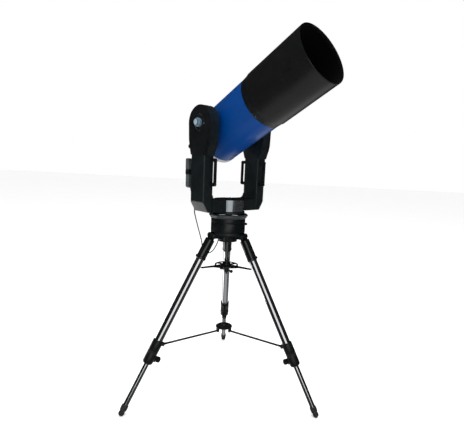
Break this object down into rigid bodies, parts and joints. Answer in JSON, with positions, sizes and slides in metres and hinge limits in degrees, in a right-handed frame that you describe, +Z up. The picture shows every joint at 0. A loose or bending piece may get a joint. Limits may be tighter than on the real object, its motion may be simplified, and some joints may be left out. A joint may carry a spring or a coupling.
{
  "type": "schmidt-cassegrain telescope",
  "caption": "Fork-mounted Schmidt-Cassegrain telescope with a long black dew shield on a folding three-leg chromed field tripod.",
  "frame": {"origin": "on the floor, below the middle of the box round the whole telescope; the azimuth axis stands 50 mm towards -Y from it", "axes": "+Z up, +Y towards the rear leg, +X to the right of someone facing the front of the stand"},
  "size_m": [1.1418, 1.2197, 2.0743],
  "materials": {
    "black_casting": "black powder coat, satin",
    "black_paint": "black paint, semi-gloss",
    "gloss_socket": "gloss black",
    "blue_enamel": "gloss blue enamel",
    "grey_casting": "satin grey enamel",
    "chrome_tube": "polished chrome",
    "steel": "machined",
    "brass": "machined",
    "black_plastic": "moulded, fine grain",
    "grey_plastic": "moulded, fine grain",
    "key_rubber": "soft matt",
    "switch_red": "gloss",
    "rubber": "matt",
    "cord_jacket": "satin jacket",
    "shield_black": "satin black outside, flat black inside",
    "knob_steel": "blue-grey anodised",
    "corrector_glass": "coated",
    "mirror_glass": "aluminised front"
  },
  "bodies": {
    "stand_head": {"tripod_head": "black_casting", "leg_pivot_bolts": "steel", "tension_rod": "steel", "base_housing": "black_casting", "control_panel": "black_plastic", "cord_lower": "cord_jacket", "cord_plug": "black_plastic"},
    "fork": {"azimuth_gear": "brass", "fork_base": "black_casting", "fork_arm_left": "black_casting", "fork_arm_right": "black_casting", "altitude_cover_left": "black_plastic", "altitude_cover_right": "black_plastic", "carry_handles": "black_plastic", "handle_bolts": "steel", "controller_bracket": "black_plastic", "hand_controller": "grey_plastic", "controller_keypad": "key_rubber", "cord_upper": "cord_jacket"},
    "tube_assembly": {"optical_tube": "blue_enamel", "front_cell": "black_casting", "corrector_plate": "corrector_glass", "secondary_cell": "black_plastic", "rear_cell": "grey_casting", "baffle_tube": "black_casting", "visual_back": "black_casting", "altitude_trunnions": "black_casting", "altitude_gear": "brass"},
    "mirror": {"primary_mirror": "mirror_glass"},
    "focuser": {"focus_knob": "black_plastic"},
    "shield": {"dew_shield": "shield_black"},
    "lock_knob": {"altitude_lock_knob": "knob_steel"},
    "slow_knob": {"altitude_slow_knob": "black_plastic"},
    "lock_lever": {"azimuth_lock_lever": "black_casting"},
    "switch": {"power_switch": "switch_red"},
    "setting_circle": {"azimuth_circle": "black_casting"},
    "t_handle": {"tension_handle": "black_casting"},
    "spreader": {"spreader": "black_casting"},
    "hub": {"strut_hub": "black_plastic"},
    "leg_left": {"leg_socket_left": "gloss_socket", "upper_leg_left": "chrome_tube", "leg_clamp_left": "black_plastic"},
    "lower_left": {"lower_leg_left": "chrome_tube", "foot_left": "rubber"},
    "knob_left": {"clamp_knob_left": "black_plastic"},
    "strut_left": {"leg_strut_left": "black_paint"},
    "leg_right": {"leg_socket_right": "gloss_socket", "upper_leg_right": "chrome_tube", "leg_clamp_right": "black_plastic"},
    "lower_right": {"lower_leg_right": "chrome_tube", "foot_right": "rubber"},
    "knob_right": {"clamp_knob_right": "black_plastic"},
    "strut_right": {"leg_strut_right": "black_paint"},
    "leg_rear": {"leg_socket_rear": "gloss_socket", "upper_leg_rear": "chrome_tube", "leg_clamp_rear": "black_plastic"},
    "lower_rear": {"lower_leg_rear": "chrome_tube", "foot_rear": "rubber"},
    "knob_rear": {"clamp_knob_rear": "black_plastic"},
    "strut_rear": {"leg_strut_rear": "black_paint"}
  },
  "joints": [
    {"name": "azimuth", "type": "hinge", "parent": "stand_head", "child": "fork", "pos_m": [0, -0.05, 1.14], "axis": [0, 0, 1], "range_deg": [-180, 180]},
    {"name": "altitude", "type": "hinge", "parent": "fork", "child": "tube_assembly", "pos_m": [0, -0.05, 1.632], "axis": [-0.749, -0.6626, 0], "range_deg": [-32, 63]},
    {"name": "focus_turn", "type": "hinge", "parent": "tube_assembly", "child": "focuser", "pos_m": [-0.12617, 0.13185, 1.60081], "axis": [0.5904, -0.6673, 0.454], "range_deg": [-3615, 3615]},
    {"name": "mirror_slide", "type": "slide", "parent": "tube_assembly", "child": "mirror", "axis": [0.5904, -0.6673, 0.454], "range_m": [-0.0075, 0.0075]},
    {"name": "shield_slide", "type": "slide", "parent": "tube_assembly", "child": "shield", "axis": [0.5904, -0.6673, 0.454], "range_m": [0, 0.026]},
    {"name": "altitude_lock", "type": "hinge", "parent": "fork", "child": "lock_knob", "pos_m": [-0.179, -0.20837, 1.632], "axis": [-0.749, -0.6626, 0], "range_deg": [-90, 0]},
    {"name": "altitude_slow_motion", "type": "hinge", "parent": "fork", "child": "slow_knob", "pos_m": [-0.22216, -0.12638, 1.508], "axis": [-0.6626, 0.749, 0], "continuous": true},
    {"name": "azimuth_lock", "type": "hinge", "parent": "stand_head", "child": "lock_lever", "pos_m": [0.0766, 0.01428, 1.062], "axis": [0.766, 0.6428, 0], "range_deg": [0, 60]},
    {"name": "power_rocker", "type": "hinge", "parent": "stand_head", "child": "switch", "pos_m": [-0.01054, 0.0579, 1.0755], "axis": [-0.9397, -0.342, 0], "range_deg": [0, 12]},
    {"name": "setting_circle_turn", "type": "hinge", "parent": "stand_head", "child": "setting_circle", "pos_m": [0, -0.05, 1.118], "axis": [0, 0, 1], "continuous": true},
    {"name": "tension_turn", "type": "hinge", "parent": "stand_head", "child": "t_handle", "pos_m": [0, -0.05, 0.78], "axis": [0, 0, 1], "range_deg": [-720, 0]},
    {"name": "leg_fold_left", "type": "hinge", "parent": "stand_head", "child": "leg_left", "pos_m": [-0.09093, -0.1025, 1], "axis": [0.5, -0.866, 0], "range_deg": [0, 15]},
    {"name": "leg_fold_right", "type": "hinge", "parent": "stand_head", "child": "leg_right", "pos_m": [0.09093, -0.1025, 1], "axis": [0.5, 0.866, 0], "range_deg": [0, 15]},
    {"name": "leg_fold_rear", "type": "hinge", "parent": "stand_head", "child": "leg_rear", "pos_m": [0, 0.055, 1], "axis": [-1, 0, 0], "range_deg": [0, 15]},
    {"name": "leg_length_left", "type": "slide", "parent": "leg_left", "child": "lower_left", "axis": [-0.4133, -0.2386, -0.8788], "range_m": [-0.25, 0.18]},
    {"name": "clamp_turn_left", "type": "hinge", "parent": "leg_left", "child": "knob_left", "pos_m": [-0.39168, -0.27614, 0.29758], "axis": [0.7611, 0.4394, -0.4772], "range_deg": [-270, 0]},
    {"name": "strut_fold_left", "type": "hinge", "parent": "leg_left", "child": "strut_left", "pos_m": [-0.34716, -0.25043, 0.37549], "axis": [0.5, -0.866, 0], "range_deg": [0, 42.7]},
    {"name": "leg_length_right", "type": "slide", "parent": "leg_right", "child": "lower_right", "axis": [0.4133, -0.2386, -0.8788], "range_m": [-0.25, 0.18]},
    {"name": "clamp_turn_right", "type": "hinge", "parent": "leg_right", "child": "knob_right", "pos_m": [0.39168, -0.27614, 0.29758], "axis": [-0.7611, 0.4394, -0.4772], "range_deg": [-270, 0]},
    {"name": "strut_fold_right", "type": "hinge", "parent": "leg_right", "child": "strut_right", "pos_m": [0.34716, -0.25043, 0.37549], "axis": [0.5, 0.866, 0], "range_deg": [0, 42.7]},
    {"name": "leg_length_rear", "type": "slide", "parent": "leg_rear", "child": "lower_rear", "axis": [0, 0.4772, -0.8788], "range_m": [-0.25, 0.18]},
    {"name": "clamp_turn_rear", "type": "hinge", "parent": "leg_rear", "child": "knob_rear", "pos_m": [0, 0.40227, 0.29758], "axis": [0, -0.8788, -0.4772], "range_deg": [-270, 0]},
    {"name": "strut_fold_rear", "type": "hinge", "parent": "leg_rear", "child": "strut_rear", "pos_m": [0, 0.35087, 0.37549], "axis": [-1, 0, 0], "range_deg": [0, 42.7]},
    {"name": "hub_rise", "type": "slide", "parent": "stand_head", "child": "hub", "axis": [0, 0, 1], "range_m": [0, 0.2522]},
    {"name": "spreader_turn", "type": "hinge", "parent": "stand_head", "child": "spreader", "pos_m": [0, -0.05, 0.81], "axis": [0, 0, 1], "range_deg": [0, 60.01]}
  ],
  "couplings": [
    {"joint": "leg_fold_right", "follows": "leg_fold_left", "ratio": 1},
    {"joint": "leg_fold_rear", "follows": "leg_fold_left", "ratio": 1},
    {"joint": "strut_fold_left", "follows": "leg_fold_left", "ratio": 2.8435},
    {"joint": "strut_fold_right", "follows": "leg_fold_left", "ratio": 2.8435},
    {"joint": "strut_fold_rear", "follows": "leg_fold_left", "ratio": 2.8435},
    {"joint": "hub_rise", "follows": "leg_fold_left", "m_per_rad": 0.96143},
    {"joint": "spreader_turn", "follows": "leg_fold_left", "ratio": 4},
    {"joint": "focus_turn", "follows": "mirror_slide", "rad_per_m": 8377.6}
  ]
}
